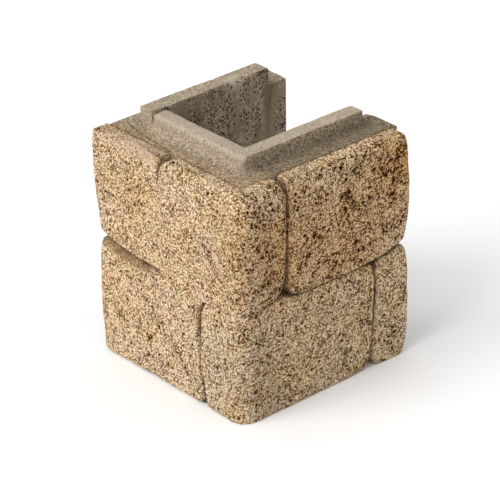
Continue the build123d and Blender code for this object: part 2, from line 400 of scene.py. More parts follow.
stones = {
    "leftUpperStone": {
        "bottom": [(-158.5, 110.5), (-147, 108), (-132, 105), (-109, 102.4), (-82.1, 102.0)],
        "right": [(-82.1, 102.0), (-82.1, 150), (-82.6, 200)],
        "top": [(-82.6, 200), (-163.6, 200)],
        "left": [(-163.6, 200), (-164.0, 188), (-163.8, 171), (-160.4, 135), (-158.5, 110.5)],
        "round": (5.0, 1.5, 1.5, 4.0),
        "soft": {"bottom": [(3, 3, 0.1), (3, 3, 0.2), (3, 3, 0.2)],
                 "right": [(1.2, 0.6, 0.1), *[closed] * 5, (2, 2.2, 0.15)],
                 "top": [(9, 7, -0.5), (11, 8, -0.65), (11, 9, -0.65), (10, 8, -0.45), (7, 6, -0.2), (5, 5, 0)],
                 "left": [(4, 4, 0), (2.5, 2.5, 0), (3, 3, 0), (5, 5, 0)]},
        "setback": 0.0, "rough": 0.9, "specks": (0.10, 0.10),
    },
    "upperQuoin": {
        "bottom": [(-82.0, 101), (-78, 97.4), (-60, 95.4), (-42, 95.2), (-24, 95.8), (-near, 96.6),
                   (near, 96.6), (10, 98.4), (18, 99.9), (25, 102.2), (30.5, 106.4)],
        "right": [(30.5, 106.4), (33.4, 115), (34.2, 130), (34.4, 156), (34.9, 175), (34.2, 190), (32.5, 200)],
        "top": [(32.5, 200), (near, 200), (-near, 200), (-82.2, 200)],
        "left": [(-82.2, 200), (-82.0, 150), (-82.0, 101)],
        "round": (1.5, 4.5, 6.0, 8.0),
        "soft": {"bottom": [(1.2, 0.7, 0.1), closed, (1.2, 0.6, 0), (1.2, 0.7, 0), (1.6, 1.2, 0), (4, 4, 0.2)],
                 "right": [(5, 6, 0.3), (3, 4, 0.4), (3, 4, 0.45), (5, 6, 0.4)],
                 "top": [(7, 7, 0), (9, 8, 0), (9, 8, 0), (9, 9, 0)],
                 "left": [(5, 5, 0), (1.2, 0.7, 0), *[closed] * 5]},
        "setback": 0.1, "rough": 1.0, "specks": (0.10, 0.23),
    },
    "rightUpperStone": {
        "bottom": [(35.6, 101.5), (43, 98.4), (51, 97.6), (90, 97.4), (122, 97.7), (134, 98.8), (158, 103.4),
                   (163, 105.5)],
        "right": [(163, 105.5), (165.5, 118), (167.3, 136), (167.2, 160), (166.6, 175), (165.4, 186), (163.6, 200)],
        "top": [(163.6, 200), (36.0, 200)],
        "left": [(36.0, 200), (36.2, 175), (35.6, 150), (35.1, 125), (35.4, 112), (35.6, 101.5)],
        "round": (4.5, 5.0, 6.0, 2.0),
        "soft": {"bottom": [(3, 3, 0.2), (2, 1.6, 0), (1.4, 0.9, 0), (1.8, 1.4, 0), (2.5, 2.5, 0.1), (3.5, 3.5, 0.1)],
                 "right": [(5, 5, 0), (4, 4, 0), (6, 6, 0)], "top": [(7, 6, 0), (5, 4, 0), (5, 4, 0)],
                 "left": [(2, 2.5, 0.3), (2, 2.5, 0.35), (2, 2.5, 0.35), (2, 2.5, 0.4)]},
        "setback": 0.0, "rough": 1.25, "specks": (0.22, 0.22),
    },
    "leftLowerStone": {
        "bottom": [(-157.5, 0), (-34, 0)],
        "right": [(-33.4, 0), (-32.6, 12), (-34, 22), (-36.6, 33), (-36.6, 67), (-35.2, 86), (-30, 94.6)],
        "top": [(-30, 94.6), (-42, 95.0), (-60, 95.2), (-78, 97.2), (-88, 99.0), (-109, 98.4), (-132, 101),
                (-147, 103.6), (-158.5, 105)],
        "left": [(-158.5, 105), (-160.3, 90), (-160.4, 59), (-159.4, 27), (-157.5, 6), (-157.5, 0)],
        "round": (4.5, 4.0, 2.5, 6.0),
        "soft": {"bottom": [(5, 5, 0), (5, 5, 0), (5, 5, 0)],
                 "right": [(5, 5, 0), (1.8, 2, 0.1), (1.6, 2, 0.15), (1.8, 2.2, 0.2), (2.5, 3, 0.3), (4.5, 5, 0.9),
                           (2, 2, 0.4)],
                 "top": [(1.5, 1, 0.2), closed, (1.5, 1, 0.1), (6, 7, 0.8), (7, 8, 0.8), (7, 7, 0.5)],
                 "left": [(6, 6, 0), (4, 4, 0), (4, 4, 0)]},
        "setback": 0.3, "rough": 0.9, "specks": (0.12, 0.12),
    },
    "lowerQuoin": {
        "bottom": [(-31, 0), (-near, 0), (near, 0), (122, 0)],
        "right": [(122, 0), (125.2, 9), (126.6, 29), (127.6, 46), (129.4, 69), (129.1, 85), (126.5, 96)],
        "top": [(126.5, 96.2), (110, 96.2), (51, 96.2), (40, 97.0), (30, 100.2), (20, 100.0), (10, 98.1),
                (near, 96.2), (-near, 96.2), (-24, 95.4), (-29, 95.2)],
        "left": [(-29, 95.2), (-33.8, 86), (-35.7, 67), (-35.7, 33), (-32.9, 22), (-31.4, 12), (-31, 0)],
        "round": (5.0, 8.0, 3.5, 3.0),
        "soft": {"bottom": [(4, 4, 0), (1.2, 1.2, 0), (1.2, 1.2, 0), (1.5, 1.5, 0), (4, 4, 0)],
                 "right": [(5, 5, 0.3), (3, 3.5, 0.4), (3, 3.5, 0.4), (4, 4, 0.4)],
                 "top": [(3, 3, 0.3), (1.6, 1.4, 0.1), (1.2, 0.7, 0), (1.4, 0.9, 0), (2, 1.6, 0.2), (1.2, 0.6, 0),
                         closed, closed],
                 "left": [(2.5, 2.5, 0.3), (2, 2.5, 0.2), (2, 2.5, 0.1), (4, 4, 0)]},
        "setback": 0.3, "rough": 0.9, "specks": (0.08, 0.11),
    },
    "rightLowerStone": {
        "bottom": [(128.5, 0), (163, 0)],
        "right": [(163, 0), (166.6, 17), (167.4, 45), (167.4, 62), (166.8, 80), (162.8, 101.5)],
        "top": [(162.8, 101.5), (150, 99.4), (134, 96.6), (129.5, 96)],
        "left": [(129.8, 96), (130.8, 87), (131.0, 69), (129.2, 46), (128.2, 29), (127.6, 9), (128.5, 0)],
        "round": (5.0, 7.0, 6.0, 3.0),
        "soft": {"bottom": [(3, 3, 0), (1.2, 1.2, 0), (2, 2, 0)], "right": [(4, 4, 0), (4, 4, 0), (5, 5, 0)],
                 "top": [(6, 6, 0.2), (3, 3, 0.3)], "left": [(5, 3.5, -0.25), (5, 3, -0.3), (5, 3.5, -0.25)]},
        "setback": 0.2, "rough": 1.0, "specks": (0.15, 0.15),
    },
}

# Stains, painted shade and clusters of flecks on the facing, as (distance, height, reach, strength), single pits,
# without the strength, and lines of dents, as points of the face
stains = {
    "rust": [(158, 180, 24, 0.95), (120, 160, 34, 0.4), (60, 140, 40, 0.3), (27, 150, 22, 0.35), (27, 115, 18, 0.3),
             (-105, 160, 24, 0.35), (14, 40, 22, 0.2), (-158, 70, 14, 0.4), (-110, 60, 30, 0.2), (150, 130, 26, 0.3),
             (100, 115, 30, 0.3), (24, 150, 60, 0.2)],
    # shade: the first four blots, beside the corner, are painted shade; the rest are darker patches
    "shade": [(16, 155, 26, 0.5), (10, 115, 22, 0.45), (4, 55, 26, 0.35), (6, 15, 22, 0.35), (60, 130, 40, 0.15),
              (120, 150, 40, 0.15), (-24, 140, 14, 0.15), (80, 50, 50, 0.15), (21, 14, 11, 0.5)],
    "grey": [(-20, 140, 22, 0.3), (22, 9, 14, 0.6), (-10, 60, 26, 0.6), (-20, 20, 24, 0.5), (-60, 20, 26, 0.3),
             (-120, 20, 24, 0.2), (120, 150, 10, 0.5)],
}
fleckClusters = [(148, 176, 20, 0.22), (101, 157, 11, 0.2), (94, 181, 8, 0.2), (62, 140, 12, 0.16),
                 (112, 122, 9, 0.2), (78, 110, 9, 0.15), (138, 20, 12, 0.12), (88, 84, 12, 0.1)]
dentLines = [[(-92, 179.6), (-120, 159)], [(-31, 42), (-24, 34)]]
pits = [(90, 193, 2.6), (100, 168, 1.5), (92, 167, 2.3), (126, 179, 2.8), (147, 164, 2.6), (139, 170, 2.2),
        (152, 181, 2.7), (145, 151, 2.1), (62, 143, 2.4), (107, 122, 3.0), (122, 156, 2.4), (86, 111, 2.0),
        (67, 118, 2.0), (52, 147, 2.0), (-36, 68, 2.0), (-86, 50, 2.0), (17, 187, 2.4), (19, 181, 2.0),
        (9, 118, 2.0), (3, 153, 1.8), (156, 172, 1.7), (151, 110, 2.2), (93, 110, 1.8)]

facingShape = {
    "spacing": 0.55, "edgeDensity": 2.5,      # mean width of a mesh cell, and how much closer they lie at an edge
    "edgeBand": 1.5,                          # width of the band of closer cells
    "wallRows": 6,                            # cells from a stone's shoulder back to the shell
    "edgeWobble": 0.6, "wobbles": [(0.7, 9.0, 3), (0.4, 3.5, 4)],             # waviness of a stone's edge
    "edgeBlur": 1.5, "edgeWeight": 0.15, "cornerReach": 1.6, "shoulderBlur": 3.0,
    "swells": [(0.6, 42.0, 5), (0.4, 15.0, 6)], "bumps": (0.35, 5.0, 8),      # each a height, a width and a seed
    "grainSize": 1.5, "grainRelief": 0.5, "recess": 0.15,
    "cloudSize": 13.0, "brownFrom": 0.36,     # patches with more brown grains, and where brown begins
    "clumps": [(0.7, 2.6, 41), (0.8, 1.4, 42)],
    "fleckSize": 2.3, "fleckDepth": 0.8, "pitFill": 2.2, "pitEdge": 0.6, "dentWidth": 0.9,
    "leftContrast": 1.1, "rightContrast": 1.45, "meanGrain": 0.36,
    "wallMean": 0.25, "wallContrast": 0.5, "wallFlecks": 0.3, "wallStains": 0.3,      # a calmer mix on the walls
}


def swell(points, height, width, seed):
    # smooth noise of a given height and width
    return height * smoothNoise(points, width, seed)


def skinPlace(along, out, up):
    # a point on the unrolled facing is wrapped round the shell's corner: straight, a quarter turn, straight
    turn = (np.clip(along / halfArc, -1, 1) + 1) * math.pi / 4
    x = cornerX + np.maximum(along - halfArc, 0) - np.cos(turn) * out
    y = cornerY + np.maximum(-along - halfArc, 0) - np.sin(turn) * out
    return np.stack([x, y, up + np.zeros_like(x)], -1)


def unrolled(points):
    # distances on the faces become distances along the skin, with the corner's arc between them
    points = np.array(points, float)
    points[:, 0] += np.sign(points[:, 0]) * halfArc
    return points


def runLength(points):
    # distance run along a line up to each of its points
    return np.r_[0, np.cumsum(np.linalg.norm(np.diff(points, axis=0), axis=1))]


def pointsAt(points, run, at):
    # points read off a line at these distances along it
    return np.stack([np.interp(at, run, points[:, k]) for k in range(points.shape[1])], -1)


def blurRing(ring, size, step):
    # a ring of equally spaced values, blurred by a bell curve along the ring
    count = len(ring)
    away = np.minimum(np.arange(count), count - np.arange(count)) * step
    bell = np.exp(-(away / size) ** 2 / 2)
    bell = np.fft.fft(bell / bell.sum())[:, None]
    return np.fft.ifft(np.fft.fft(ring, axis=0) * bell, axis=0).real


def wornOutline(stone, step=0.4):
    # the four edges joined in a ring and blurred along it, most at the corners, which wears them round
    shape = facingShape
    ring, soft, starts = [], [], [0]
    for side in ("bottom", "right", "top", "left"):
        edge = unrolled(stone[side])
        run = runLength(edge)
        count = int(run[-1] / step)
        ring.append(pointsAt(edge, run, np.linspace(0, run[-1], count + 1)[:-1]))
        shoulder = np.array(stone["soft"][side], float)
        knots = np.arange(len(shoulder))
        soft.append(pointsAt(shoulder, knots, np.linspace(0, knots[-1], count)))
        starts.append(starts[-1] + count)
    ring, soft = np.concatenate(ring), np.concatenate(soft)
    total = len(ring)
    around = np.arange(total)
    worn = blurRing(ring, shape["edgeBlur"], step) * shape["edgeWeight"]
    weights = np.full((total, 1), shape["edgeWeight"])
    for start, size in zip(starts, stone["round"]):
        away = np.minimum(abs(around - start), total - abs(around - start)) * step
        weight = np.exp(-(away / (shape["cornerReach"] * size)) ** 2)[:, None]
        worn += blurRing(ring, size, step) * weight
        weights += weight
    return worn / weights, blurRing(soft, shape["shoulderBlur"], step), starts


def crowded(length):
    # places from 0 to 1 along a length, evenly spaced but closer together near both ends
    shape = facingShape
    at = np.linspace(0, length, 4000)
    nearEnds = np.exp(-at / shape["edgeBand"]) + np.exp((at - length) / shape["edgeBand"])
    density = (1 + shape["edgeDensity"] * nearEnds) / shape["spacing"]
    total = np.r_[0, np.cumsum(density[1:] * at[1])]
    return np.interp(np.linspace(0, total[-1], int(total[-1]) + 1), total, at / length)


def blendedPatch(sides, u, v):
    # a grid between four edges: each pair of facing edges blended across, less the corners counted twice
    low, right, high, left = [
        pointsAt(side, runLength(side), (1 - at if back else at) * runLength(side)[-1])
        for side, at, back in zip(sides, (u, v, u, v), (False, False, True, True))]
    low, high, left, right = low[:, None], high[:, None], left[None], right[None]
    uu, vv = u[:, None, None], v[None, :, None]
    flat = (1 - vv) * low + vv * high + (1 - uu) * left + uu * right
    flat -= (1 - uu) * ((1 - vv) * low[0] + vv * high[0]) + uu * ((1 - vv) * low[-1] + vv * high[-1])
    return flat.reshape(-1, 2)


def facingMix(points, along, height, stone):
    # grains are small domes, each with its own shade; clumps of them are brown, and a share of larger cells are
    # dark flecks, more of them in the clusters
    shape = facingShape
    onRight = easeStep(along, -8, 8)
    left, right = stone["specks"]
    distance = along - np.clip(along, -halfArc, halfArc)
    share = left + (right - left) * onRight + blotField(distance, height, fleckClusters)
    away, pick = grainField(points + 0.5 * smoothNoise(points, 2.0, 21)[:, None], shape["grainSize"], 7)
    dome = np.clip(1 - (away / 0.85) ** 2, 0, 1)
    cloud = smoothNoise(points, shape["cloudSize"], 18)
    brown = sum(swell(points, *spec) for spec in shape["clumps"]) + 0.5 * cloud
    brown = np.clip((brown - shape["brownFrom"] + 0.5 * share) * 3, 0, 1)
    away, chance = grainField(points + 0.8 * smoothNoise(points, 2.4, 22)[:, None], shape["fleckSize"], 27)
    fleck = np.clip((share * np.clip(0.8 + 1.6 * cloud, 0, 2) - chance) * 20, 0, 1)
    fleck = fleck * np.clip((0.64 - away) * 6, 0, 1)
    relief = shape["grainRelief"] * (dome * (0.35 + 0.65 * pick) - 0.5 - 0.5 * brown)
    relief += swell(points, *shape["bumps"])
    grain = np.clip(pick * (0.45 + 0.55 * dome) * 1.1, 0, 1) * (1 - 0.85 * brown) - 0.12 * cloud
    contrast = shape["leftContrast"] + (shape["rightContrast"] - shape["leftContrast"]) * onRight
    return relief, shape["meanGrain"] + (grain - shape["meanGrain"]) * contrast, fleck


def makeStone(name, stone):
    # a patch blended from its worn edges, raised to the facing's thickness less its worn shoulders, then moved
    # along its normals by grains, flecks and dents, and closed by walls back to the shell
    shape = facingShape
    outline, soft, starts = wornOutline(stone)
    inward = outline.mean(0) - outline
    inward /= np.linalg.norm(inward, axis=1)[:, None]
    spots = np.column_stack([outline, outline[:, 0]])
    wobble = sum(swell(spots, *spec) for spec in shape["wobbles"])
    worn = np.clip(wobble * 0.5 + 0.4, 0, 1) * np.clip(soft[:, 1] / 2 - 0.5, 0, 1) * shape["edgeWobble"]
    outline = outline + inward * worn[:, None]
    ringPoints, ringSoft = np.r_[outline, outline[:1]], np.r_[soft, soft[:1]]
    sides = [ringPoints[starts[k]:starts[k + 1] + 1] for k in range(4)]
    lengths = [runLength(side)[-1] for side in sides]
    u, v = crowded(max(lengths[0], lengths[2])), crowded(max(lengths[1], lengths[3]))
    columns, rows = len(u), len(v)
    flat = blendedPatch(sides, u, v)

    # nearest point of the outline, and with it the shoulder's width, drop and finish
    rim, rimSoft = ringPoints[::2], ringSoft[::2]
    nearest = np.concatenate([
        ((part[:, None] - rim[None]) ** 2).sum(-1).argmin(1) for part in np.array_split(flat, len(flat) // 2000 + 1)])
    away = np.linalg.norm(flat - rim[nearest], axis=1)
    width, drop, finish = rimSoft[nearest].T
    inside = np.clip(1 - away / width, 0, 1)
    shoulder = drop * (1 - np.sqrt(1 - inside**2))
    base = skinPlace(flat[:, 0], facingThickness - stone["setback"] - shoulder, flat[:, 1])
    patchy = np.clip(0.75 + 0.7 * smoothNoise(base, 6.0, 33), 0, 1)
    smooth = np.clip(inside * 2.2, 0, 1) * np.clip(abs(finish) * 1.3, 0, 1) * patchy

    relief, grain, fleck = facingMix(base, flat[:, 0], flat[:, 1], stone)
    distance = flat[:, 0] - np.clip(flat[:, 0], -halfArc, halfArc)
    broken = np.clip(smoothNoise(base, 5.0, 31) * 2 + 0.5, 0, 1)
    onFace = np.column_stack([distance, flat[:, 1]])
    dent = sum(np.exp(-(lineDistance(onFace, line) / shape["dentWidth"]) ** 2) for line in dentLines)
    ragged = shape["pitEdge"] * smoothNoise(base, 1.8, 51) - shape["pitEdge"]
    pit = blotField(*onFace.T, [(*spot, 1) for spot in pits]) * shape["pitFill"] + ragged
    dark = np.clip(fleck + dent * broken + np.clip(pit, 0, 1), 0, 1) * (1 - smooth)
    height = sum(swell(base, *spec) for spec in shape["swells"])
    height += relief * stone["rough"] * (1 - 0.85 * smooth) - shape["fleckDepth"] * dark - shape["recess"]
    grid = base.reshape(columns, rows, 3)
    normal = np.cross(np.gradient(grid, axis=0), np.gradient(grid, axis=1)).reshape(-1, 3)
    normal /= np.maximum(np.linalg.norm(normal, axis=1), 1e-9)[:, None]
    front = base + normal * np.minimum(height, -0.02)[:, None]
    front = np.clip(front, facingLow + (0.02, 0.02, 0), facingHigh - (0.02, 0.02, 0))
    grain = grain + (0.5 - grain) * smooth * 0.8

    # walls from the rim straight back to the shell, with their own grains
    index = np.arange(columns * rows).reshape(columns, rows)
    ring = np.concatenate([index[:, 0], index[-1, 1:], index[-2::-1, -1], index[0, -2:0:-1]])
    depth = np.linspace(1, 0, shape["wallRows"] + 1)[1:, None, None]
    foot = skinPlace(flat[ring, 0], 0 * ring, front[ring, 2])
    walls = (front[ring][None] * depth + foot[None] * (1 - depth)).reshape(-1, 3)
    layers = np.concatenate([ring[None], len(front) + np.arange(len(walls)).reshape(len(depth), -1)])
    wrap = np.roll(layers, -1, axis=1)
    wallFaces = np.stack([layers[:-1], layers[1:], wrap[1:], wrap[:-1]], -1).reshape(-1, 4)
    wallGrain, wallFleck = facingMix(walls, np.tile(flat[ring, 0], len(depth)), walls[:, 2], stone)[1:]
    wallGrain = shape["wallMean"] + shape["wallContrast"] * wallGrain

    # back: one tall quad for each column, and the two outer columns take the side edges' points with them
    back = layers[-1]
    lowRow = back[:columns]
    highRow = back[columns + rows - 2:2 * columns + rows - 2][::-1]
    leftSide, rightSide = back[2 * columns + rows - 2:], back[columns:columns + rows - 2]
    backFaces = np.stack([lowRow[1:-2], highRow[1:-2], highRow[2:-1], lowRow[2:-1]], -1).tolist()
    backFaces.append([lowRow[0], *leftSide[::-1], highRow[0], highRow[1], lowRow[1]])
    backFaces.append([lowRow[-2], highRow[-2], highRow[-1], *rightSide[::-1], lowRow[-1]])
    faces = gridFaces(columns, rows).tolist() + wallFaces.tolist() + backFaces

    def withWalls(values):
        # every row of the walls takes the rim's own values
        return np.r_[values, np.tile(values[ring], len(depth))]

    # the joint mask marks the brown shoulders: dirt, with painted shade where a shoulder lies under its neighbour
    attributes = {"grain": np.r_[grain, wallGrain], "dark": np.r_[dark, wallFleck * shape["wallFlecks"]],
                  "jointDirtAndShade": withWalls(smooth * (finish > 0)), "bevel": withWalls(smooth * (finish < 0))}
    calm = np.r_[np.ones(len(front)), np.full(len(walls), shape["wallStains"])]
    for stain, blots in stains.items():
        attributes[stain] = withWalls(blotField(*onFace.T, blots)) * calm
    return makePiece(name, np.r_[front, walls], faces, "stone_facing", facingMaterial, attributes)


for stoneName, stoneSpec in stones.items():
    makeStone(stoneName, stoneSpec)


# Bed layer behind the joints: a thin slab carried round the corner

bedLayer = {"thickness": 5.0, "inset": 4.0, "columns": 40, "levels": 24,
            "finish": {"grain": 0.5, "dark": 0.5, "jointDirtAndShade": 0.8}}


def makeBedLayer():
    # a flat ring of levels, out at the slab's face and back at the shell, carried along the skin
    inset, levels = bedLayer["inset"], bedLayer["levels"]
    along = np.r_[np.linspace(-(shellWidth - inset + halfArc), -halfArc, bedLayer["columns"]),
                  np.linspace(-halfArc, halfArc, 13)[1:-1],
                  np.linspace(halfArc, shellLength - inset + halfArc, bedLayer["columns"])]
    up = np.linspace(inset, ledgeHeight - inset, levels)
    out = np.r_[np.full(levels, bedLayer["thickness"]), np.zeros(levels)]
    points = skinPlace(along[:, None] + 0 * out, out[None] + 0 * along[:, None], np.r_[up, up[::-1]][None])
    rows = 2 * levels
    faces = gridFaces(len(along), rows, closed=True).tolist()
    k = np.arange(levels - 1)
    cap = np.stack([k, k + 1, rows - 2 - k, rows - 1 - k], -1)
    faces += cap.tolist() + (cap[:, ::-1] + (len(along) - 1) * rows).tolist()
    points = points.reshape(-1, 3)
    attributes = {key: np.full(len(points), value) for key, value in bedLayer["finish"].items()}
    return makePiece("facingBed", points, faces, "stone_facing", facingMaterial, attributes)


makeBedLayer()


# Grey shell: the wall's section carried along the U. Every level of the section has its own corner radius.

shellShape = {
    "wall": 32.0, "tongueWidth": 14.0, "tongueHeight": 13.5, "backRise": 2.0, "tongueSetback": 18.0,
    "backExtra": 1.2,                                             # the back tongue is this much wider
    "grooveDepth": 17.0, "grooveWidth": 15.5, "grooveClearance": 1.5, "endRound": 2.0, "innerEndRound": 3.5,
    "frontTongueEnd": (6.0, 5.5), "backTongueEnd": (6.5, 7.0),    # the tongue's worn end, in plan and at its top
    "frontDrop": 3.6, "backDrop": 2.5,                            # worn top edges of the leaves' open ends
    "frontInnerWear": (8.0, 4.0), "backInnerWear": (5.0, 2.0),    # and of their inner corners, as (reach, drop)
    "frontShift": 2.4, "backShift": -1.2,                         # the front leaf is a little longer
    # the U's corner radius at distances out from the hollow
    "cornerRadius": ((0.0, 2.0), (14.0, 5.0), (32.0, 1.5)),
    "farCornerRadius": ((0.0, 2.0), (14.0, 2.0), (32.0, 1.5)),
    "straightEnd": 60.0, "columnStep": 1.5, "webStep": 0.9, "arcColumns": 8, "capColumns": 9,
    "endColumns": (0.12, 0.4, 0.8, 1.3, 1.9, 2.6, 3.4, 4.3, 5.2, 6.1, 7.1),      # close columns on the tongue's end
    "straightRows": (112, 3, 9, 11, 8, 22, 60, 8, 6, 6),          # cells on the section's straight runs
    "arcRows": 6, "edgeRadius": 0.9, "webEdgeRadius": 5.0, "webFootRadius": 6.0,
    "spall": {"place": 106.0, "reach": 11.0, "size": 6.5},        # worn dip in the back tongue's inner edge
    "waves": [(0.22, 28.0, 71), (0.14, 3.6, 72)], "chips": 1.6,   # each wave a depth, a width and a seed
    # places on the hollow's back face, as (distance, height, reach, strength)
    "pitted": [(80, 193, 9, 1.0), (95, 178, 8, 1.0), (127, 200, 9, 0.8), (123, 178, 8, 0.8), (142, 175, 9, 0.6)],
    "smoothed": [(56, 206, 10, 1.0), (93, 203, 8, 0.8), (110, 172, 7, 1.2), (151, 190, 9, 0.9)],
}

# Cracks on the shell: points in plan, half width, depth, shade, and the lowest and highest level they reach
ledgeLevels = (197, 202)
cracks = [
    ([(13, 148), (8.5, 131), (3.7, 89), (0.5, 80)], 1.1, 1.2, 0.6, ledgeLevels),
    ([(16.5, 125.6), (33, 125.6)], 0.7, 1.4, 0.8, (206, 216)),
    ([(0.6, 156), (0.6, 84)], 1.0, 1.3, 1.0, ledgeLevels),
    ([(2.0, 70), (1.6, 34)], 0.9, 1.0, 0.9, ledgeLevels),
    ([(38, 0.6), (158, 0.6)], 0.8, 0.9, 0.75, ledgeLevels),
    ([(1.0, 24), (0.4, 5)], 0.9, 1.1, 0.9, ledgeLevels),
]

# How strong each stain, painted shade and painted light is on the shell, and single stains as (distance, depth or
# height, reach, strength)
shellFinish = {
    "ledgeTinge": 0.8, "tingeFade": 0.6, "ledgePaintedShadow": 0.72, "streakSoot": 0.75, "farEndSoot": 0.2,
    "tongueDust": 0.5, "lessOnBack": 0.3, "riserPaintedLight": 0.25, "edgeRust": 0.6, "ledgeSmear": 0.5, "plainPores": 0.15,
    "hollowDust": [(114, 161, 5, 0.6)], "spallDust": [(105, 211, 7, 0.8)], "ledgeSmears": [(140, 10, 14, 0.9)],
}


def makeShell():
    # the section's corners are rounded and joined by straight runs in each column, and each level of the
    # section follows its own U in plan
    shape = shellShape
    wall, ledge = shape["wall"], ledgeHeight
    endX, backY = cornerX + shellLength, cornerY + shellWidth
    setback = shape["tongueSetback"]

    # columns of one leaf from its open end inwards: the end's cap, the bare ledge, the tongue's end, the tongue
    cap = np.linspace(1, 0, shape["capColumns"])
    bare = np.linspace(0, setback, 12)[1:]
    rise = np.linspace(0, 1, 7)[1:]
    full = setback + np.array(shape["endColumns"])
    rest = np.arange(full[-1] + shape["columnStep"], shape["straightEnd"], shape["columnStep"])
    leafPlace = np.r_[0 * cap, bare, setback + 0 * rise, full, rest]
    leafShare = np.r_[0 * cap, 0 * bare, rise, 0 * full + 1, 0 * rest + 1]
    leafClosing = np.r_[cap, 0 * bare, 0 * rise, 0 * full, 0 * rest]
    inner = np.linspace(0, 1, int((shellLength - wall - shape["straightEnd"]) / shape["columnStep"]))[1:]
    web = np.linspace(0, 1, int((shellWidth - 2 * wall) / shape["webStep"]))[1:]
    arc = np.linspace(0, 1, shape["arcColumns"])[1:]
    runs = [("frontEnd", leafPlace, leafShare, leafClosing), ("frontRun", inner, 1, 0), ("nearCorner", arc, 1, 0),
            ("webRun", web, 1, 0), ("farCorner", arc, 1, 0), ("backRun", inner[:-1], 1, 0),
            ("backEnd", leafPlace[::-1], leafShare[::-1], leafClosing[::-1])]
    names = np.concatenate([np.full(len(at), name) for name, at, share, closing in runs])
    place = np.concatenate([at for name, at, share, closing in runs])
    share = np.concatenate([share + 0 * at for name, at, share, closing in runs])
    closing = np.concatenate([closing + 0 * at for name, at, share, closing in runs])
    fromEnd = np.where(np.isin(names, ("frontEnd", "backEnd")), place, 1e3)
    onBack = np.isin(names, ("backRun", "backEnd"))
    softWeb = np.select([names == "nearCorner", names == "webRun"], [place, 1 - easeStep(place, 0.87, 0.92)], 0)

    # the section's corners in each column, as distance out from the hollow, height and radius
    tongueRound, topRound = [np.where(onBack, back, front) for front, back in
                             zip(shape["frontTongueEnd"], shape["backTongueEnd"])]
    pinch = tongueRound - np.clip(fromEnd - setback, 0, tongueRound)
    pinch = tongueRound - np.sqrt(tongueRound**2 - pinch**2)
    endDrop = topRound - np.clip(fromEnd - setback, 0, topRound)
    endTop = shape["tongueHeight"] - topRound
    height = np.where(share < 1, endTop * share, endTop + np.sqrt(topRound**2 - endDrop**2))
    inside = np.where(share > 0, pinch, tongueRound)
    outside = shape["tongueWidth"] - inside + shape["backExtra"] * np.where(names == "farCorner", place, onBack)
    inGroove = fromEnd > setback - shape["grooveClearance"]
    groove = np.where(inGroove, shape["grooveDepth"], 0.0)
    zero = 0 * height

    def wornEnd(size):
        # how far a quarter round of this size stands back at each column
        return size - np.sqrt(np.maximum(size**2 - np.clip(size - fromEnd, 0, size) ** 2, 0))

    outer = wall - wornEnd(shape["endRound"])
    inner0 = wornEnd(shape["innerEndRound"])
    shelf = ledge - np.where(onBack, wornEnd(shape["backDrop"]), wornEnd(shape["frontDrop"]))
    frontWear, backWear = [wornEnd(reach) / reach * drop
                           for reach, drop in (shape["frontInnerWear"], shape["backInnerWear"])]
    innerDrop = np.where(onBack, backWear, frontWear)
    inside = np.where(share > 0, inside, np.maximum(inside, inner0))
    top = shelf + height
    alongRun = wall + (shellLength - shape["straightEnd"] - wall) * place
    alongLeaf = np.where(names == "backEnd", shellLength - place, alongRun)
    spall = shape["spall"]
    dip = spall["size"] * np.exp(-((alongLeaf - spall["place"]) / spall["reach"]) ** 2)
    dip = np.where(onBack, dip, 0)
    edge = shape["edgeRadius"]
    topEdge = np.minimum(edge + softWeb * (shape["webEdgeRadius"] - edge), height / 2)
    foot = np.minimum(edge + softWeb * (shape["webFootRadius"] - edge), height / 2)
    corners = [
        (inner0, groove, zero + 0.8), (inner0, shelf - innerDrop, zero), (inside, shelf, zero),
        (inside, top, np.minimum(edge + dip, height / 2)), (outside, top, topEdge), (outside, shelf, foot),
        (outer, shelf, zero + edge), (outer, zero, zero + 1.0),
        (zero + shape["grooveWidth"], zero, np.where(inGroove, 0.8, 0)), (zero + shape["grooveWidth"], groove, zero),
    ]

    out, up, edges = [], [], []
    for k, (o, z, r) in enumerate(corners):
        before, after = corners[k - 1], corners[(k + 1) % len(corners)]
        spot = np.stack([o, z], -1)
        backStep = np.stack(before[:2], -1) - spot
        foreStep = np.stack(after[:2], -1) - spot
        backLength = np.linalg.norm(backStep, axis=1)
        foreLength = np.linalg.norm(foreStep, axis=1)
        radius = np.minimum(r, np.minimum(backLength, foreLength) * 0.5)
        foreWay = foreStep / np.maximum(foreLength, 1e-6)[:, None]
        first = spot + backStep / np.maximum(backLength, 1e-6)[:, None] * radius[:, None]
        last = spot + foreWay * radius[:, None]
        for t in np.linspace(0, 1, shape["arcRows"]):
            point = (1 - t) ** 2 * first + 2 * t * (1 - t) * spot + t**2 * last
            out.append(point[:, 0])
            up.append(point[:, 1])
            edges.append(np.where(radius > 0.3, 1.0, 0.0))
        target = np.stack(after[:2], -1) - foreWay * np.minimum(after[2], foreLength * 0.5)[:, None]
        for t in np.linspace(0, 1, shape["straightRows"][k] + 1)[1:-1]:
            point = last + (target - last) * t
            out.append(point[:, 0])
            up.append(point[:, 1])
            edges.append(np.clip(1 - np.minimum(t, 1 - t) * foreLength / 3.0, 0, 1))
    out, up, edges = np.stack(out, 1), np.stack(up, 1), np.stack(edges, 1)
    out = out + (wall / 2 - out) * closing[:, None]

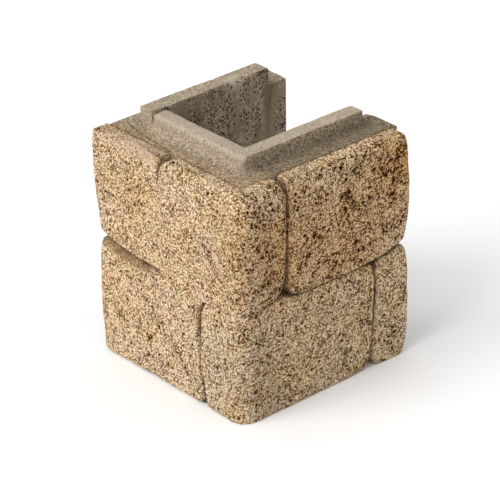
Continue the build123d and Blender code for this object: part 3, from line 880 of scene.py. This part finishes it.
    # plan: each level's own U, with corner arcs whose radius follows the level
    radius = np.interp(out, *np.array(shape["cornerRadius"]).T)
    farRadius = np.interp(out, *np.array(shape["farCornerRadius"]).T)
    nearX, nearY, farY = cornerX + wall - out, cornerY + wall - out, backY - wall + out
    startX = endX - shape["straightEnd"]
    p = place[:, None] + 0 * out
    turn = p * math.pi / 2
    plans = {
        "frontEnd": (endX - p + shape["frontShift"] * (1 - p / shape["straightEnd"]), nearY),
        "frontRun": (startX + (nearX + radius - startX) * p, nearY),
        "nearCorner": (nearX + radius - radius * np.sin(turn), nearY + radius - radius * np.cos(turn)),
        "webRun": (nearX, nearY + radius + (farY - farRadius - nearY - radius) * p),
        "farCorner": (nearX + farRadius - farRadius * np.cos(turn), farY - farRadius + farRadius * np.sin(turn)),
        "backRun": (nearX + farRadius + (startX - nearX - farRadius) * p, farY),
        "backEnd": (endX - p + shape["backShift"] * (1 - p / shape["straightEnd"]), farY),
    }
    chosen = [(names == name)[:, None] for name in plans]
    x = np.select(chosen, [plan[0] for plan in plans.values()])
    y = np.select(chosen, [plan[1] for plan in plans.values()])
    raised = easeStep(y, backY - wall - 0.6, backY - wall + 0.6) * shape["backRise"] / shape["tongueHeight"]
    up = np.where(up > ledge, ledge + (up - ledge) * (1 + raised), up)
    points = np.stack([x, y, up], -1).reshape(-1, 3)
    columns, rows = x.shape
    faces = gridFaces(columns, rows, closed=True).tolist()
    attributes = {"edge": edges.ravel()}
    piece = makePiece("greyShell", points, faces, "concrete_shell", greyMaterial, attributes)
    roughenShell(piece)
    return piece


def roughenShell(piece):
    # points are pressed in along their normals by waves, grains, edge chips and cracks, and the finish of each
    # place is written as attributes: tinge, soot with painted shade, dust with painted light, holes and porous
    # patches
    shape, finish = shellShape, shellFinish
    mesh = piece.data
    count = len(mesh.vertices)
    place, normal = np.empty(count * 3, np.float32), np.empty(count * 3, np.float32)
    nearEdge = np.empty(count, np.float32)
    mesh.vertices.foreach_get("co", place)
    mesh.vertices.foreach_get("normal", normal)
    mesh.attributes["edge"].data.foreach_get("value", nearEdge)
    place, normal = place.reshape(-1, 3).astype(float) / mm, normal.reshape(-1, 3).astype(float)
    plan, level = place[:, :2] - (cornerX, cornerY), place[:, 2]
    press = sum(np.minimum(depth * (smoothNoise(place, size, seed) - 0.3), 0) for depth, size, seed in shape["waves"])
    chip = np.clip(smoothNoise(place, 11.0, 73) + 0.6 * smoothNoise(place, 4.0, 74) - 0.35, 0, 1)
    press -= shape["chips"] * chip * nearEdge
    crackMask = np.zeros(count)
    for line, width, depth, shade, (lowest, highest) in cracks:
        within = (level > lowest) & (level < highest)
        cut = np.exp(-(lineDistance(plan, line) / width) ** 2) * within
        press -= depth * cut
        crackMask = np.maximum(crackMask, cut * shade)
    moved = place + normal * press[:, None]
    moved[:, 2] = np.maximum(moved[:, 2], 0)
    mesh.vertices.foreach_set("co", (moved * mm).astype(np.float32).ravel())

    upward = np.clip(normal[:, 2], 0, 1)
    onLedge = upward * (abs(level - ledgeHeight) < 3)
    onTongue = upward * (level > ledgeHeight + 7)
    onBack = easeStep(plan[:, 1], 124, 128)
    wall = shape["wall"]
    hollowFaces = ((0, wall, 1), (1, wall, 1), (1, shellWidth - wall, -1))      # axis, place and way each one looks
    inHollow = 1.0 * np.any([(abs(plan[:, axis] - at) < 6) & (normal[:, axis] * way > 0.5)
                             for axis, at, way in hollowFaces], 0)
    plainFace = np.any([(plan[:, axis] > 150) & (normal[:, axis] > 0.5) for axis in (0, 1)], 0)
    plainFace = 1.0 * (plainFace | (normal[:, 2] < -0.5))
    webRiser = (normal[:, 0] < -0.4) * (level > ledgeHeight + 1) * (plan[:, 0] < 22)
    spalled = (abs(plan[:, 1] - 129) < 6) * blotField(plan[:, 0], level, finish["spallDust"])
    cloud = np.clip(smoothNoise(place, 24.0, 80) * 1.2 + 0.5, 0, 1)
    streak = np.clip(smoothNoise(place * (1, 1, 0.16), 9.0, 76) * 1.3 + 0.1, 0, 1)
    toFacing = np.minimum(plan[:, 0], plan[:, 1])
    pitted = blotField(plan[:, 0], level, shape["pitted"]) - blotField(plan[:, 0], level, shape["smoothed"])
    patch = smoothNoise(place * (1, 1, 0.45), 15.0, 77) * 2.4 + 0.25 + pitted * (normal[:, 1] < -0.5)
    patch = np.clip(patch, 0, 1)
    finishes = {
        "tinge": onLedge * np.clip((14 - toFacing) / 12, 0, 1)
                 * (finish["ledgeTinge"] - finish["tingeFade"] * easeStep(plan[:, 0], 15, 45)),
        # the front leaf's ledge is darkened as painted shade; in the hollow, soot streaks and a darker far end
        "sootAndShade": onLedge * easeStep(plan[:, 0], 5, 45) * (plan[:, 1] < 30) * finish["ledgePaintedShadow"]
                + inHollow * (streak * easeStep(plan[:, 0], 34, 60) * finish["streakSoot"]
                              + easeStep(plan[:, 0], 138, 150) * finish["farEndSoot"]),
        # tongue tops, the hollow's residue and the spall are dust; the web's riser, facing the key light, is paled as
        # painted light
        "dustAndPaintedLight": onTongue * (finish["tongueDust"] - finish["lessOnBack"] * onBack)
                + inHollow * blotField(plan[:, 0], level, finish["hollowDust"])
                + webRiser * finish["riserPaintedLight"] + spalled,
        "rust": onLedge * np.exp(-((plan[:, 1] - 0.4) / 0.6) ** 2) * (plan[:, 0] > 38) * finish["edgeRust"],
        "smear": inHollow * np.clip(0.8 - patch * 1.6, 0, 0.7) + plainFace * (0.2 + 0.3 * cloud)
                 + onLedge * finish["ledgeSmear"] * blotField(*plan.T, finish["ledgeSmears"]),
        "hole": crackMask * np.clip(0.9 + 0.9 * smoothNoise(place, 6.0, 79), 0, 1),
        "porous": inHollow * patch + plainFace * finish["plainPores"] * patch,
    }
    for key, values in finishes.items():
        layer = mesh.attributes.new(key, "FLOAT", "POINT")
        layer.data.foreach_set("value", values.astype(np.float32))
    mesh.update()


makeShell()

# Stage: pale floor, white surroundings, a soft key light from the upper left and a softer one from above

stage = {
    "floorColour": (0.95, 0.95, 0.95), "surround": 0.44, "floorSize": 8.0,
    "lights": {"keyLight": {"from": (-0.80, 0.10, 0.59), "spread": 50.0, "power": 2.3},
               "topLight": {"from": (0.0, 0.0, 1.0), "spread": 100.0, "power": 0.9}},
}


def makeStage():
    # a flat square floor, a white surround and two wide suns
    mesh = bpy.data.meshes.new("floor")
    half = stage["floorSize"] / 2
    mesh.from_pydata([(-half, -half, 0), (half, -half, 0), (half, half, 0), (-half, half, 0)], [], [(0, 1, 2, 3)])
    floor = bpy.data.objects.new("floor", mesh)
    bpy.context.scene.collection.objects.link(floor)
    material, tree, shader = plainMaterial("paleFloor", 0.9)
    shader.inputs["Base Color"].default_value = (*stage["floorColour"], 1)
    mesh.materials.append(material)
    world = bpy.data.worlds.new("whiteSurround")
    world.use_nodes = True
    world.node_tree.nodes["Background"].inputs["Color"].default_value = (1, 1, 1, 1)
    world.node_tree.nodes["Background"].inputs["Strength"].default_value = stage["surround"]
    bpy.context.scene.world = world
    for name, lamp in stage["lights"].items():
        light = bpy.data.lights.new(name, "SUN")
        light.angle = math.radians(lamp["spread"])
        light.energy = lamp["power"]
        holder = bpy.data.objects.new(name, light)
        holder.rotation_euler = (-Vector(lamp["from"])).to_track_quat("-Z", "Y").to_euler()
        bpy.context.scene.collection.objects.link(holder)
    bpy.context.scene.view_settings.view_transform = "Standard"


# Camera: place from the shell's corner in millimetres, angles in degrees

view = {"place": (-1293.3, -1477.2, 1190.4), "yaw": 41.38, "pitch": 27.97, "roll": -0.70, "lens": 209.06}


def makeCamera():
    # yaw and pitch turn the view, and roll tilts it about its own axis
    yaw, pitch, roll = [math.radians(view[key]) for key in ("yaw", "pitch", "roll")]
    ahead = Vector((math.sin(yaw) * math.cos(pitch), math.cos(yaw) * math.cos(pitch), -math.sin(pitch)))
    right = Vector((math.cos(yaw), -math.sin(yaw), 0))
    up = right.cross(ahead)
    rightTilted = math.cos(roll) * right + math.sin(roll) * up
    upTilted = -math.sin(roll) * right + math.cos(roll) * up
    data = bpy.data.cameras.new("camera")
    data.lens = view["lens"]
    data.clip_end = 20
    camera = bpy.data.objects.new("camera", data)
    turned = Matrix((rightTilted, upTilted, -ahead)).transposed().to_4x4()
    eye = Vector(view["place"]) + Vector((cornerX, cornerY, 0))
    camera.matrix_world = Matrix.Translation(eye * mm) @ turned
    bpy.context.scene.collection.objects.link(camera)
    bpy.context.scene.camera = camera


makeStage()
makeCamera()
print("stage and camera made")
